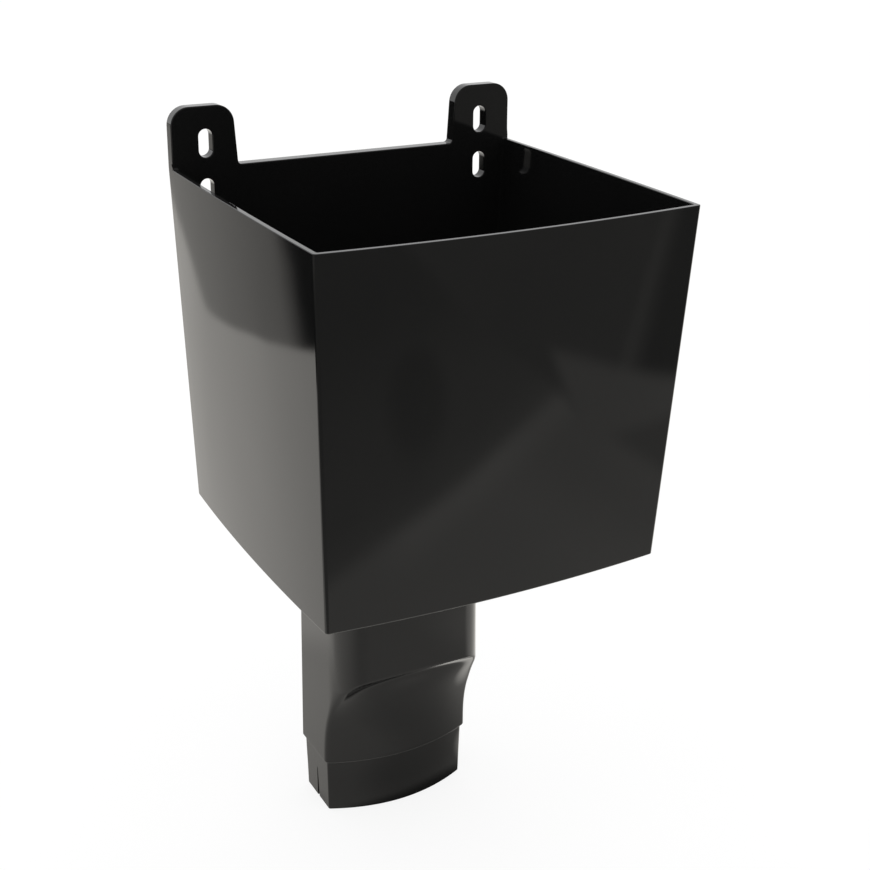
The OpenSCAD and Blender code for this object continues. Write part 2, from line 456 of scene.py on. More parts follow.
@dataclass
class Outlet:
    """The deep outlet: throat, scooped front, oval, shoulder and slit spigot.

    Depths v are measured down from the crease. Rows and columns lie in bands of (start, end, step).
    """

    top_width: float = 88.8
    width: float = 91.8
    flat: float = 35.0
    bow: float = 10.5
    setback: float = 46.5
    throat_front: float = 91.5
    throat_round: Point = (15.0, 23.0)
    oval_radius: float = 2.5
    scoop_radius: float = 7.0
    corner_drop: float = 30.0
    least_radius: float = 0.5
    least_throat_round: float = 2.0
    crease_drop: float = 91.0
    shoulder_drop: float = 155.0
    wall: float = 2.4
    shoulder_radius: float = 0.8
    crease_radius: float = 1.0
    spigot_length: float = 33.5
    spigot_step: float = 1.7
    spigot_taper: float = 0.8
    spigot_wall: float = 2.0
    spigot_root: float = 0.25
    mouth_outer: float = 0.6
    mouth_inner: float = 0.4
    neck_rise: float = 4.0
    slit_height: float = 20.0
    slit_mouth: float = 2.5
    slit_tip: float = 0.8
    sweep_drop: float = 60.0
    sweep_power: float = 2.35
    hollow: float = 2.8
    hollow_drop: float = 4.5
    root_radius: float = 1.5
    lip_radius: float = 1.2
    crease_margin: float = 3.0
    front_columns: tuple[Band, ...] = (
        (2.0, 15.0, 2.2), (15.0, 27.0, 0.6), (27.0, 57.0, 0.75), (57.0, 90.0, 2.0))
    back_columns: tuple[Band, ...] = ((2.0, 15.0, 2.2), (15.0, 28.0, 0.6), (28.0, 90.0, 2.4))
    above_rows: Point = (-0.9, 0.7)
    crease_rows: tuple[Band, ...] = ((-0.8, 2.0, 0.2), (2.0, 14.0, 0.4))
    sweep_step: float = 1.0
    round_steps: int = 6
    root_steps: int = 12
    lip_steps: int = 10
    search_reach: float = 130.0
    search_steps: int = 48
    probe: float = 0.004

    def levels(self, base: float) -> Levels:
        """Heights along the outlet.

        Args:
            base: Height of the box's underside.

        Returns:
            The heights.
        """
        shoulder = base - self.shoulder_drop
        end = shoulder - self.spigot_length
        return Levels(base - self.crease_drop, shoulder, end + self.slit_height, end)

    def sweep(self, v: Array) -> tuple[Array, Array]:
        """How far the front stands ahead of the oval's corners.

        Formula: R (1 - v / s)^p below the crease, and the same slope carried on straight above it.

        Args:
            v: Depth under the crease.

        Returns:
            The distance and its slope.
        """
        reach = self.throat_front - self.setback - self.flat / 2
        left = np.clip(1.0 - np.maximum(v, 0.0) / self.sweep_drop, 0.0, 1.0)
        slope = -self.sweep_power * reach / self.sweep_drop * left ** (self.sweep_power - 1.0)
        return reach * left ** self.sweep_power + slope * np.minimum(v, 0.0), slope

    def dish(self, v: Array) -> Array:
        """Depth of the hollow in the middle of the front, under the crease: h q e^(1 - q), with q = v / d."""
        q = np.where(v < self.sweep_drop, np.maximum(v, 0.0), 0.0) / self.hollow_drop
        return self.hollow * q * np.exp(1.0 - q)

    def half_width(self, v: Array) -> Array:
        """Half the distance over the flat ends, which draw apart from the base down to the plain oval."""
        share = np.clip((v + self.crease_drop) / (self.sweep_drop + self.crease_drop), 0.0, 1.0)
        return lerp(self.top_width, self.width, share) / 2

    def crown(self, x: Array, half: Array) -> tuple[Array, Array]:
        """Swell of the oval's long sides, b (1 - (x / a)^2), and its slope without the sign."""
        return self.bow * (1.0 - (x / half) ** 2), 2.0 * self.bow * x / half ** 2

    def scoop(self, x: Array, deep: Array, v: Array, half: Array, inset: Array) -> Array:
        """Distance ahead of the scooped front: its sweep, plus the crown that grows below, less the hollow.

        Args:
            x: Place along the wall.
            deep: Distance from the wall.
            v: Depth under the crease.
            half: Half the width.
            inset: How far the section is drawn in.

        Returns:
            The distance, over the surface's slope.
        """
        reach, slope = self.sweep(v)
        crown, tilt = self.crown(x, half)
        swell = 1.0 - (1.0 - np.clip(v / self.sweep_drop, 0.0, 1.0)) ** 3
        thumb = self.dish(v) * np.maximum(1.0 - (x / half) ** 2, 0.0)
        front = deep - (self.setback + self.flat / 2 - inset + reach + swell * crown - thumb)
        return front / np.sqrt(1.0 + slope ** 2 + (swell * tilt) ** 2)

    def throat(self, x: Array, deep: Array, half: Array, inset: Array) -> Array:
        """Distance ahead of the throat, whose front corners are quarters of an ellipse.

        Formula: (q - 1) over the slope of q, with q = hypot(x / rx, y / ry) from the corner's middle.

        Args:
            x: Place along the wall.
            deep: Distance from the wall.
            half: Half the width.
            inset: How far the section is drawn in.

        Returns:
            The distance.
        """
        rx, ry = (np.maximum(r - inset, self.least_throat_round) for r in self.throat_round)
        across = np.maximum(np.abs(x) - (half - rx), 0.0) / rx
        ahead = np.maximum(deep - (self.throat_front - inset - ry), 0.0) / ry
        size = np.maximum(np.hypot(across, ahead), TINY)
        slope = np.maximum(np.hypot(across / rx, ahead / ry) / size, TINY)
        return np.where(size > TINY, (size - 1.0) / slope, -np.minimum(rx, ry))

    def distance(self, x: Array, y: Array, v: Array, inset: Array) -> Array:
        """Distance outside the outlet's section.

        The section lies within two flat ends, a swollen back, the throat and the scooped front. The ends meet
        the back and the scoop in round edges, and so do the scoop and the throat, at the crease.

        Args:
            x: Place along the wall.
            y: Place into the wall.
            v: Depth under the crease.
            inset: How far the section is drawn in.

        Returns:
            The distance, below zero inside.
        """
        half = self.half_width(v) - inset
        deep = -y
        ends = np.abs(x) - half
        corner = lerp(self.scoop_radius, self.oval_radius, smooth(v / self.corner_drop)) - inset
        scoop = self.scoop(x, deep, v, half, inset)
        oval = rounded_max(ends, scoop, np.maximum(corner, self.least_radius))
        front = rounded_max(oval, self.throat(x, deep, half, inset), self.crease_radius)
        crown, tilt = self.crown(x, half)
        back = (self.setback - self.flat / 2 + inset - crown - deep) / np.hypot(1.0, tilt)
        behind = rounded_max(ends, back, np.maximum(self.oval_radius - inset, self.least_radius))
        return np.maximum(front, behind)

    def angles(self, z: Array, inset: Array, v: Array, at: Levels) -> Array:
        """Directions of the columns round the outlet, which lie close together at the corners.

        The columns beside each slit follow its edges, at half the slit's width from the oval's long axis.

        Args:
            z: Height of each row.
            inset: How far each row is drawn in.
            v: Depth of each row under the crease.
            at: Heights along the outlet.

        Returns:
            Directions [column, row] in radians, with the first column repeated a turn later.
        """
        ahead, behind = half_turn(self.front_columns), half_turn(self.back_columns) + 180.0
        front, back = (np.radians(turn)[:, None] + 0.0 * z for turn in (ahead, behind))
        open_share = np.clip((at.tip - z) / (at.tip - at.end), 0.0, 1.0)
        gap = lerp(self.slit_tip, self.slit_mouth, open_share) / 2
        edge = np.arctan2(gap, self.half_width(v) - inset)[None]
        left = [np.pi - edge, np.pi + edge]
        right = [2 * np.pi - edge, 2 * np.pi + edge]
        return np.concatenate([edge, front, *left, back, *right])

    def ring(self, z: Array, inset: Array, v: Array, at: Levels) -> Array:
        """Points of the section along each column's ray from the oval's middle, where the distance is zero.

        P = M + q (cos, sin), with q found by halving the interval from zero to the search's reach.

        Args:
            z: Height of each row.
            inset: How far each row is drawn in.
            v: Depth of each row under the crease.
            at: Heights along the outlet.

        Returns:
            Points [column, row].
        """
        turn = self.angles(z, inset, v, at)
        cos, sin = np.cos(turn), -np.sin(turn)
        low, high = np.zeros_like(turn), np.full_like(turn, self.search_reach)
        for _ in range(self.search_steps):
            mid = (low + high) / 2
            out = self.distance(mid * cos, mid * sin - self.setback, v, inset) > 0
            high, low = np.where(out, mid, high), np.where(out, low, mid)
        return np.stack([low * cos, low * sin - self.setback, z + 0.0 * low], -1)

    def facing(self, p: Array, v: Array, inset: float) -> Array:
        """Normals of the section's surface: the distance's slope along x, y and z.

        Args:
            p: Points [column, row].
            v: Depth of each row under the crease.
            inset: How far the section is drawn in.

        Returns:
            Unit normals [column, row].
        """
        e = self.probe
        x, y = p[..., 0], p[..., 1]
        along_x = self.distance(x + e, y, v, inset) - self.distance(x - e, y, v, inset)
        along_y = self.distance(x, y + e, v, inset) - self.distance(x, y - e, v, inset)
        along_z = self.distance(x, y, v - e, inset) - self.distance(x, y, v + e, inset)
        return unit(np.stack([along_x, along_y, along_z], -1))

    def scoop_rows(self) -> Array:
        """Depths of the rows from just above the crease to the shoulder, close together at the crease.

        Returns:
            Depths, from the highest row to the lowest.
        """
        above = (-self.crease_margin, *self.above_rows)
        below = (self.crease_rows[-1][1], self.sweep_drop + self.sweep_step / 2, self.sweep_step)
        last = self.shoulder_drop - self.crease_drop - self.shoulder_radius
        return np.concatenate([spaced((above, *self.crease_rows, below)), [last]])

    def build(self, skin: Skin, base: float, floor: float) -> tuple[Array, Array]:
        """Adds the outlet's patches to the moulding.

        Args:
            skin: The moulding.
            base: Height of the box's underside.
            floor: Height of the box's floor.

        Returns:
            The loop where the outlet leaves the underside, and the loop where it opens in the floor.
        """
        at = self.levels(base)
        inner_crease = at.crease + self.wall
        r = self.root_radius
        root = Profile.join(
            Profile.arc((-r, base - r), -r, 90, 0, self.round_steps),
            Profile.line((0.0, base - r), (0.0, at.crease + self.crease_margin), self.root_steps))
        upper = self.ring(root.z, root.inset, at.crease - root.z, at)
        skin.grid(upper, closed=True)
        v = self.scoop_rows()
        outer = self.ring(at.crease - v, np.zeros_like(v), v, at)
        skin.grid(outer, closed=True, normals=self.facing(outer, v, 0.0))
        self.spigot(skin, at)
        v = np.concatenate([[inner_crease - (at.shoulder + self.neck_rise)], v[-2::-1]])
        inner = self.ring(inner_crease - v, np.full_like(v, self.wall), v, at)
        skin.grid(inner, closed=True, normals=-self.facing(inner, v, self.wall))
        r, start = self.lip_radius, inner_crease + self.crease_margin
        top = Profile.join(
            Profile.line((self.wall, start), (self.wall, floor - r), self.lip_steps),
            Profile.arc((self.wall - r, floor - r), -r, 0, 90, self.round_steps))
        lip = self.ring(top.z, top.inset, inner_crease - top.z, at)
        skin.grid(lip, closed=True)
        return upper[:-1, 0], lip[:-1, -1]

    def spigot_line(self, at: Levels) -> Profile:
        """The section from the shoulder down the spigot's outside, round its mouth and up its inside.

        The last number of each run is its count of steps.

        Args:
            at: Heights along the outlet.

        Returns:
            The section line.
        """
        r, root, outer, inner = self.shoulder_radius, self.spigot_root, self.mouth_outer, self.mouth_inner
        step, neck = self.spigot_step, self.spigot_step + self.spigot_wall
        taper = self.spigot_taper * (at.shoulder - at.tip) / (at.shoulder - at.end)
        outer_end, inner_end = step + self.spigot_taper, neck + self.spigot_taper
        return Profile.join(
            Profile.arc((r, at.shoulder + r), r, 180, 270, 6),
            Profile.line((r, at.shoulder), (step - root, at.shoulder), 2),
            Profile.arc((step - root, at.shoulder - root), -root, 90, 0, 4),
            Profile.line((step, at.shoulder - root), (step + taper, at.tip), 5),
            Profile.line((step + taper, at.tip), (outer_end, at.end + outer), 8),
            Profile.arc((outer_end + outer, at.end + outer), outer, 180, 270, 5),
            Profile.line((outer_end + outer, at.end), (inner_end - inner, at.end), 2),
            Profile.arc((inner_end - inner, at.end + inner), inner, 270, 360, 4),
            Profile.line((inner_end, at.end + inner), (neck + taper, at.tip), 8),
            Profile.line((neck + taper, at.tip), (neck, at.shoulder), 5),
            Profile.line((neck, at.shoulder), (self.wall, at.shoulder + self.neck_rise), 3))

    def spigot(self, skin: Skin, at: Levels) -> None:
        """Adds the shoulder, the spigot, its mouth and its inside, with a slit in each flat end.

        Args:
            skin: The moulding.
            at: Heights along the outlet.
        """
        line = self.spigot_line(at)
        v = np.full_like(line.z, self.shoulder_drop - self.crease_drop)
        p = self.ring(line.z, line.inset, v, at)
        cut = np.nonzero(np.abs(line.z - at.tip) < TINY)[0]
        first, last = int(cut[0]), int(cut[-1])
        columns = len(p) - 1
        left = len(half_turn(self.front_columns)) + 1
        skip = np.zeros((columns, len(line.z) - 1), bool)
        skip[[left, columns - 1], first:last] = True
        skin.grid(p, closed=True, skip=skip)
        for before, after in ((left, left + 1), (columns - 1, 0)):
            for column, side in ((before, 1.0), (after, -1.0)):
                facing = np.sign(p[after, first, 1] - p[before, first, 1]) * side
                skin.fill([p[column, first:last + 1]], (0.0, facing, 0.0))
            closed_end = [p[before, first], p[after, first], p[after, last], p[before, last]]
            skin.fill([np.array(closed_end)], (0.0, 0.0, -1.0))


@dataclass
class WallPlate:
    """The back wall with its two slotted ears."""

    thickness: float = 7.0
    ear_height: float = 32.1
    ear_inner: float = 64.0
    ear_lean: float = 2.2
    ear_radius: float = 10.0
    ear_root: float = 2.0
    edge: float = 0.6
    edge_start: float = 2.0
    edge_run: float = 4.0
    back_edge: float = 0.3
    swell_fade: float = 14.0
    slot_x: float = 81.7
    slot_width: float = 7.6
    slot_length: float = 15.0
    slot_rise: float = 12.5
    slot_spacing: float = 26.2
    slot_edge: float = 0.6
    slot_back_edge: float = 0.4
    ear_steps: int = 12
    root_steps: int = 6
    rise_steps: int = 18
    edge_steps: int = 6
    side_steps: int = 4
    slot_steps: int = 16
    slot_edge_steps: int = 5

    def ear_outline(self, half: float) -> Profile:
        """The left ear's outline: round upper corners, a leaning inner edge, a round root and the rim.

        Args:
            half: Half the rim's width.

        Returns:
            The line from the top of the outer edge to the rim's middle, with x as its inset.
        """
        lean = self.ear_lean / self.ear_height
        stretch = math.hypot(1.0, lean)
        r, root = self.ear_radius, self.ear_root
        top = self.ear_height - r
        tilt = math.degrees(math.atan(lean))
        inner = -self.ear_inner - lean * top - r * stretch
        outer_arc = Profile.arc((-half + r, top), r, 180, 90, self.ear_steps)
        crown = Profile.line((-half + r, self.ear_height), (inner, self.ear_height), 1)
        inner_arc = Profile.arc((inner, top), r, 90, tilt, self.ear_steps)
        foot = (-self.ear_inner - lean * root + root * stretch, root)
        root_arc = Profile.arc(foot, -root, 180 + tilt, 270, self.root_steps)
        edge = Profile.line((inner_arc.inset[-1], inner_arc.z[-1]), (root_arc.inset[0], root_arc.z[0]), 1)
        rim = Profile.line((foot[0], 0.0), (0.0, 0.0), 1)
        return Profile.join(outer_arc, crown, inner_arc, edge, root_arc, rim)

    def edge_rows(self, front: Array, back: float, steps: int) -> tuple[Array, Array]:
        """Rows through the plate: a round at the front face, a straight run and a round at the back face.

        Front: y = r (1 - cos a) - t and o = r (1 - sin a). Back: y = r sin a - r and o = r (1 - cos a).

        Args:
            front: Radius at the front face, a column with one value for each point of an outline.
            back: Radius at the back face.
            steps: Steps of each round.

        Returns:
            The rows' places y, and the amounts o by which they stand off the outline, [point, row].
        """
        turn = np.radians(np.linspace(0.0, 90.0, steps + 1))
        t = np.linspace(0.0, 1.0, self.side_steps + 1)[1:-1]
        side = lerp(front - self.thickness, -back, t)
        flat = 0.0 * front
        y = [front * (1.0 - np.cos(turn)) - self.thickness, side, back * np.sin(turn) - back + flat]
        o = [front * (1.0 - np.sin(turn)), np.zeros_like(side), back * (1.0 - np.cos(turn)) + flat]
        return np.concatenate(y, 1), np.concatenate(o, 1)

    def band(self, skin: Skin, box: HopperBox) -> tuple[Array, Array]:
        """Adds the plate's edge: its outline carried from the front face round to the back face.

        P = outline - m o, with m the outline's normal and o the amount by which the round edges draw in. On
        the sides the outline stands out with the box's swell.

        Args:
            skin: The moulding.
            box: The box that the plate closes.

        Returns:
            The edge's first row, on the front face, and its last row, on the back face, from base to base.
        """
        foot = Profile.join(box.base_round(), box.outside())
        half, _, _, _ = box.level(foot.z, foot.inset)
        rise = np.linspace(-box.rim_radius, self.ear_height - self.ear_radius, self.rise_steps + 1)[1:]
        side_half, _, _, _ = box.level(rise, 0.0 * rise)
        ear = self.ear_outline(box.rim_width / 2)
        rest = np.zeros(len(ear.z) - 1)
        px = np.concatenate([-half, -side_half, ear.inset[1:]])[:, None]
        pz = np.concatenate([foot.z, rise, ear.z[1:]])[:, None]
        mx = np.concatenate([foot.out, -np.ones_like(rise), ear.out[1:]])[:, None]
        mz = np.concatenate([foot.up, np.zeros_like(rise), ear.up[1:]])[:, None]
        inset = np.concatenate([foot.inset, np.zeros_like(rise), rest])[:, None]
        share = np.concatenate([np.ones_like(foot.z), 1.0 - smooth(rise / self.swell_fade), rest])[:, None]
        start = smooth((rise - self.edge_start) / self.edge_run)
        reach = np.concatenate([np.zeros_like(foot.z), start, rest + 1.0])[:, None]
        y, o = self.edge_rows(self.edge * reach, self.back_edge, self.edge_steps)
        swell = box.swell(-y, np.minimum(pz, 0.0), inset) * share
        whole = mirrored(np.stack([px - mx * o - swell, y, pz - mz * o], -1))
        whole = np.concatenate([whole, whole[:1]])
        skin.grid(whole, closed=True)
        return whole[:-1, 0], whole[:-1, -1]

    def slot(self, skin: Skin, x: float, z: float) -> tuple[Array, Array]:
        """Adds the wall of one upright slot: P = outline + m o, a stadium that opens by o at its round edges.

        Args:
            skin: The moulding.
            x: Place of its middle along the wall.
            z: Height of its middle.

        Returns:
            Its loops on the front face and on the back face.
        """
        r, run = self.slot_width / 2, (self.slot_length - self.slot_width) / 2
        turn = np.radians(np.linspace(0.0, 180.0, self.slot_steps + 1))
        cos, sin = np.cos(turn), np.sin(turn)
        mx = np.concatenate([cos, -cos, cos[:1]])[:, None]
        mz = np.concatenate([sin, -sin, sin[:1]])[:, None]
        px = np.concatenate([r * cos, -r * cos, r * cos[:1]])[:, None] + x
        pz = np.concatenate([r * sin + run, -r * sin - run, r * sin[:1] + run])[:, None] + z
        y, o = self.edge_rows(self.slot_edge + 0.0 * px, self.slot_back_edge, self.slot_edge_steps)
        p = np.stack([px + mx * o, y, pz + mz * o], -1)
        skin.grid(p, closed=True)
        return p[:-1, 0], p[:-1, -1]

    def slots(self, skin: Skin) -> tuple[list[Array], list[Array]]:
        """Adds all four slots.

        Args:
            skin: The moulding.

        Returns:
            Their loops on the front face, and those on the back face.
        """
        heights = (self.slot_rise, self.slot_rise - self.slot_spacing)
        made = [self.slot(skin, x, z) for x in (-self.slot_x, self.slot_x) for z in heights]
        return [loops[0] for loops in made], [loops[1] for loops in made]


class Ray(Enum):
    """Kinds of light path that a stage material tells apart."""

    CAMERA = "Is Camera Ray"
    GLOSSY = "Is Glossy Ray"
    TRANSMISSION = "Is Transmission Ray"


class Ramp(Enum):
    """Ways of rising from zero to one."""

    SMOOTH = "SMOOTHSTEP"
    STRAIGHT = "LINEAR"


class Wire:
    """A value in a shader: arithmetic on it adds Math nodes."""

    def __init__(self, tree: "Tree", socket: bpy.types.NodeSocket) -> None:
        """Wraps one output socket of a tree."""
        self.tree = tree
        self.socket = socket

    def _math(self, operation: str, *values: Any) -> "Wire":
        """A Math node on some values."""
        return self.tree.node("ShaderNodeMath", {"operation": operation}, dict(enumerate(values)))

    def __add__(self, other: Any) -> "Wire":
        """Sum."""
        return self._math("ADD", self, other)

    __radd__ = __add__

    def __sub__(self, other: Any) -> "Wire":
        """Difference."""
        return self._math("SUBTRACT", self, other)

    def __rsub__(self, other: Any) -> "Wire":
        """Difference from a plain number."""
        return self._math("SUBTRACT", other, self)

    def __mul__(self, other: Any) -> "Wire":
        """Product."""
        return self._math("MULTIPLY", self, other)

    __rmul__ = __mul__

    def soft_min(self, other: "Wire", width: float) -> "Wire":
        """The smaller of two values, with the bend where they meet rounded over a width."""
        return self._math("SMOOTH_MIN", self, other, width)

    def step(self, low: float, high: float, ramp: Ramp = Ramp.SMOOTH) -> "Wire":
        """A rise from zero at the low value to one at the high value, or a fall where low is the larger."""
        ends = {"Value": self, "From Min": low, "From Max": high}
        return self.tree.node("ShaderNodeMapRange", {"interpolation_type": ramp.value}, ends)


class Tree:
    """A node tree that is filled by method calls."""

    def __init__(self, tree: bpy.types.NodeTree) -> None:
        """Empties the tree."""
        self.tree = tree
        tree.nodes.clear()

    def node(self, kind: str, settings: dict[str, Any] | None = None, inputs: dict[Any, Any] | None = None,
             output: Any = 0) -> Wire | None:
        """Adds a node.

        Args:
            kind: Its type.
            settings: Its properties, set first.
            inputs: Values or wires of its sockets, by name or number.
            output: Name or number of the socket that is returned.

        Returns:
            The output socket, or nothing for a node that has none.
        """
        made = self.tree.nodes.new(kind)
        for key, value in (settings or {}).items():
            setattr(made, key, value)
        for key, value in (inputs or {}).items():
            if isinstance(value, Wire):
                self.tree.links.new(value.socket, made.inputs[key])
            else:
                made.inputs[key].default_value = value
        return Wire(self, made.outputs[output]) if len(made.outputs) else None

    def mix(self, share: Wire, a: Any, b: Any) -> Wire:
        """A colour a share of the way from a to b, which are the Mix node's sockets 6 and 7."""
        return self.node("ShaderNodeMix", {"data_type": "RGBA"}, {"Factor": share, 6: a, 7: b}, 2)

    def axis(self, place: Wire, name: str) -> Wire:
        """One coordinate of a place."""
        return self.node("ShaderNodeSeparateXYZ", {}, {0: place}, name)

    def ray(self, *kinds: Ray) -> Wire:
        """One for rays of the given kinds, and zero for all others."""
        found = [self.node("ShaderNodeLightPath", output=kind.value) for kind in kinds]
        return sum(found[1:], found[0])


@dataclass(frozen=True)
class Noise:
    """A cloudy pattern, with its scale per metre."""

    scale: float
    detail: float
    roughness: float

    def wire(self, tree: Tree, place: Wire) -> Wire:
        """The pattern's value at a place, about a half on average."""
        inputs = {"Vector": place, "Scale": self.scale, "Detail": self.detail, "Roughness": self.roughness}
        return tree.node("ShaderNodeTexNoise", {}, inputs)


@dataclass(frozen=True)
class GlossBlack:
    """Black plastic from a polished mould: deep gloss, a faint wave in the walls, a faint bloom and painted
    edge highlights.
    """

    name: str = "gloss_black"
    colour: Colour = (0.0058, 0.0060, 0.0061)
    bloom: Colour = (0.0082, 0.0082, 0.0080)
    # Colour of the painted highlights: a pale line just above the base edge and the shoulder step.
    painted_edge_highlight: Colour = (0.085, 0.085, 0.080)
    ior: float = 1.5
    roughness: float = 0.055
    roughness_spread: float = 0.03
    cloud_share: float = 0.7
    grain_share: float = 0.3
    noise_middle: float = 0.5
    cloud: Noise = Noise(22.0, 3.0, 0.55)
    grain: Noise = Noise(1400.0, 2.0, 0.6)
    wave: Noise = Noise(14.0, 1.0, 0.4)
    wave_strength: float = 0.35
    wave_depth: float = 0.0006
    grain_strength: float = 0.02
    grain_depth: float = 0.0001
    edge_rise: float = 0.0002
    edge_reach: float = 0.0006

    def edge(self, height: Wire, level: float) -> Wire:
        """One just above a moulded edge at a level, falling to zero within the edge's own reach: a painted
        highlight's mask.
        """
        off = height - (level + self.edge_rise)
        return (off * off).step(self.edge_reach ** 2, 0.0)

    def material(self, edges: Sequence[float]) -> bpy.types.Material:
        """Makes the material, on the piece's own coordinates.

        Args:
            edges: Heights of the level edges that carry a painted highlight, paler than the rest.

        Returns:
            A material whose colour, roughness and bump vary gently over the moulding.
        """
        made = bpy.data.materials.new(self.name)
        made.use_nodes = True
        tree = Tree(made.node_tree)
        place = tree.node("ShaderNodeTexCoord", output="Object")
        cloud, grain, wave = (noise.wire(tree, place) for noise in (self.cloud, self.grain, self.wave))
        height = tree.axis(place, "Z")
        edge_highlight_shares = [self.edge(height, level) for level in edges]
        colour = tree.mix(cloud, (*self.colour, 1.0), (*self.bloom, 1.0))
        # Painted highlight: the colour turns pale just above each given edge.
        colour = tree.mix(sum(edge_highlight_shares[1:], edge_highlight_shares[0]), colour, (*self.painted_edge_highlight, 1.0))
        uneven = cloud * self.cloud_share + grain * self.grain_share - self.noise_middle
        soft = tree.node("ShaderNodeBump", {}, {
            "Strength": self.wave_strength, "Distance": self.wave_depth, "Height": wave})
        fine = tree.node("ShaderNodeBump", {}, {
            "Strength": self.grain_strength, "Distance": self.grain_depth, "Height": grain, "Normal": soft})
        shader = tree.node("ShaderNodeBsdfPrincipled", {}, {
            "Base Color": colour, "Roughness": self.roughness + self.roughness_spread * uneven,
            "Normal": fine, "IOR": self.ior})
        tree.node("ShaderNodeOutputMaterial", {}, {"Surface": shader})
        return made


@dataclass
class Moulding:
    """The whole hopper head, one piece."""

    box: HopperBox = field(default_factory=HopperBox)
    plate: WallPlate = field(default_factory=WallPlate)
    outlet: Outlet = field(default_factory=Outlet)
    finish: GlossBlack = field(default_factory=GlossBlack)
    name: str = "hopper_shell"

    def skin(self) -> Skin:
        """Builds every patch of the moulding.

        Returns:
            The patches, which meet edge to edge all round.
        """
        skin, box, plate = Skin(), self.box, self.plate
        walls = box.walls(plate.thickness)
        skin.grid(walls)
        base_loop, floor_loop = self.outlet.build(skin, box.base, box.floor)
        front_edge, back_edge = plate.band(skin, box)
        front_slots, back_slots = plate.slots(skin)
        k, rim = box.nook_steps, box.rim_row
        floor_ends = np.stack([walls[:k + 1, -1], walls[:-k - 2:-1, -1]])
        skin.grid(floor_ends[:, ::-1])
        ears = front_edge[rim:len(front_edge) - rim]
        plate_front = np.concatenate([ears, walls[-1, rim + 1:], walls[0, :rim:-1]])
        skin.fill([plate_front, *front_slots], (0.0, -1.0, 0.0))
        skin.fill([back_edge, *back_slots], (0.0, 1.0, 0.0))
        skin.fill([walls[:, 0], base_loop], (0.0, 0.0, -1.0))
        skin.fill([walls[k:-k, -1], floor_loop], (0.0, 0.0, 1.0))
        return skin

    def build(self) -> bpy.types.Object:
        """Makes the piece, dresses it and lets it stand for the CAD node.

        Returns:
            The piece, at the origin.
        """
        lift = self.box.height / 2
        # Levels of the painted edge highlights: the box's base and the outlet's shoulder.
        edges = (self.box.base, self.outlet.levels(self.box.base).shoulder)
        mesh = self.skin().mesh(self.name, lift)
        mesh.materials.append(self.finish.material([(edge + lift) * MM for edge in edges]))
        piece = bpy.data.objects.new(self.name, mesh)
        bpy.context.scene.collection.objects.link(piece)
        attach(piece, "root")
        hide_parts("hopper_head")
        LOG.info("%s: %d points, %d triangles", self.name, len(mesh.vertices), len(mesh.polygons))
        return piece


@dataclass(frozen=True)
class Edge:
    """A soft edge on the floor: a rise of d = a (x - x0) + c (x - x0)^2 + b (y - y0), with c its bend."""

    fade: Point
    normal: Point
    origin: Point = (0.0, 0.0)
    bend: float = 0.0
    ramp: Ramp = Ramp.SMOOTH

    def faded(self, low: float, high: float) -> "Edge":
        """The same edge with another fade."""
        return replace(self, fade=(low, high))

    def distance(self, x: Wire, y: Wire) -> Wire:
        """The distance d of a place past the edge.

        Args:
            x: Place along the wall.
            y: Place into the wall.

        Returns:
            The distance.
        """
        off = x - self.origin[0]
        across = self.normal[0] + self.bend * off if self.bend else self.normal[0]
        return off * across + self.normal[1] * (y - self.origin[1])

    def share(self, x: Wire, y: Wire) -> Wire:
        """Zero to one as the distance passes from the fade's first value to its second."""
        return self.distance(x, y).step(*self.fade, self.ramp)


@dataclass(frozen=True)
class Seam(Edge):
    """A soft line on the floor, whose fade is given in squared distances."""

    def share(self, x: Wire, y: Wire) -> Wire:
        """One on the line, and zero past its fade."""
        off = self.distance(x, y)
        return (off * off).step(*self.fade, self.ramp)


@dataclass(frozen=True)
class Corner:
    """Two edges of the same fade that meet in a round bend, within which both are passed."""

    first: Edge
    second: Edge
    width: float

    def share(self, x: Wire, y: Wire) -> Wire:
        """Zero to one as the smaller of the two distances passes through the fade."""
        least = self.first.distance(x, y).soft_min(self.second.distance(x, y), self.width)
        return least.step(*self.first.fade)


@dataclass(frozen=True)
class Oval:
    """A soft oval, leaning along x with y, whose fade is in squared distances that are one at its rim."""

    middle: Point
    reach: Point
    fade: Point
    lean: float = 0.0

    def share(self, x: Wire, y: Wire) -> Wire:
        """Zero to one as the squared distance from the middle passes through the fade.

        Args:
            x: Place along the wall.
            y: Place into the wall.

        Returns:
            The share.
        """
        off = y - self.middle[1]
        across = (x - self.middle[0] + self.lean * off) * (1.0 / self.reach[0])
        along = off * (1.0 / self.reach[1])
        return (across * across + along * along).step(*self.fade)


@dataclass(frozen=True)
class Area:
    """A brightness within soft edges, with other areas added to it or laid over it."""

    level: float
    edges: tuple[Edge | Corner | Oval, ...] = ()
    added: tuple["Area", ...] = ()
    laid: tuple["Area", ...] = ()

    def share(self, x: Wire, y: Wire) -> Wire:
        """The product of the edges' shares at a place."""
        shares = [edge.share(x, y) for edge in self.edges]
        return math.prod(shares[1:], start=shares[0])

    def value(self, x: Wire, y: Wire) -> Any:
        """The area's own brightness at a place.

        Args:
            x: Place along the wall.
            y: Place into the wall.

        Returns:
            A wire, or a plain number for an even area.
        """
        value = sum((area.level * area.share(x, y) for area in self.added), self.level)
        for area in self.laid:
            value = area.over(value, x, y)
        return value

    def over(self, below: Any, x: Wire, y: Wire) -> Wire:
        """A brightness with this area laid over it."""
        return lerp(below, self.value(x, y), self.share(x, y))


ALONG_X = (1.0, 0.0)
ALONG_Y = (0.0, 1.0)
DIAGONAL = (1.0, 0.35)
SHEET_FRONT = Edge((-0.014, 0.014), (-0.484, -0.88), (0.0, -0.49), 0.2904)
RIGHT_SEAM = Edge((0.010, 0.045), (0.606, 0.795), (0.59, -0.70))
LEFT_SIDE = Edge((0.010, -0.024), DIAGONAL, (-0.485, 0.75))


